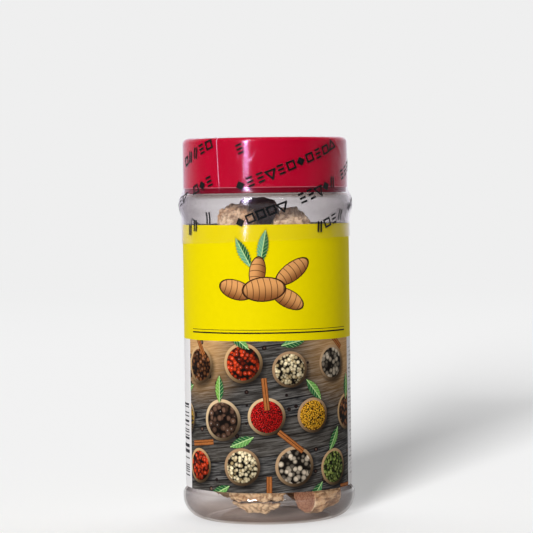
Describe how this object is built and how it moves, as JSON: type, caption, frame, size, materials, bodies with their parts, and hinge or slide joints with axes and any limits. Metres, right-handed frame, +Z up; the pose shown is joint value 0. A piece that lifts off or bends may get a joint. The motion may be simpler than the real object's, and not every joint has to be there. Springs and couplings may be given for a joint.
{
  "type": "jar of dried galangal root",
  "caption": "Sealed clear round spice jar with a red screw cap, shrink band and wraparound label, filled with dried galangal root pieces.",
  "frame": {"origin": "centre of the jar's base on the plane of its standing ring", "axes": "+Z up along the jar's axis, -Y is the front that the label faces, +X to the right seen from the front"},
  "size_m": [0.0706, 0.0706, 0.1543],
  "materials": {
    "clear_plastic": "clear blown PET, slightly grey",
    "cap_red": "smooth moulded plastic, satin gloss",
    "liner_foam": "pressed foam sheet",
    "label_paper": "coated printed label, yellow over a picture panel",
    "band_film": "clear heat-shrunk film with black print",
    "root_bark": "dry tan to brown bark with leaf-scar rings and fibrous cut ends"
  },
  "bodies": {
    "root": {"jar": "clear_plastic", "cap": "cap_red", "cap_liner": "liner_foam", "label": "label_paper", "shrink_band": "band_film", "root_01": "root_bark", "root_02": "root_bark", "root_03": "root_bark", "root_04": "root_bark", "root_05": "root_bark", "root_06": "root_bark", "root_07": "root_bark", "root_08": "root_bark", "root_09": "root_bark", "root_10": "root_bark", "root_11": "root_bark", "root_12": "root_bark", "root_13": "root_bark", "root_14": "root_bark", "root_15": "root_bark", "root_16": "root_bark", "root_17": "root_bark", "root_18": "root_bark", "root_19": "root_bark", "root_20": "root_bark", "root_21": "root_bark", "root_22": "root_bark"}
  },
  "joints": []
}
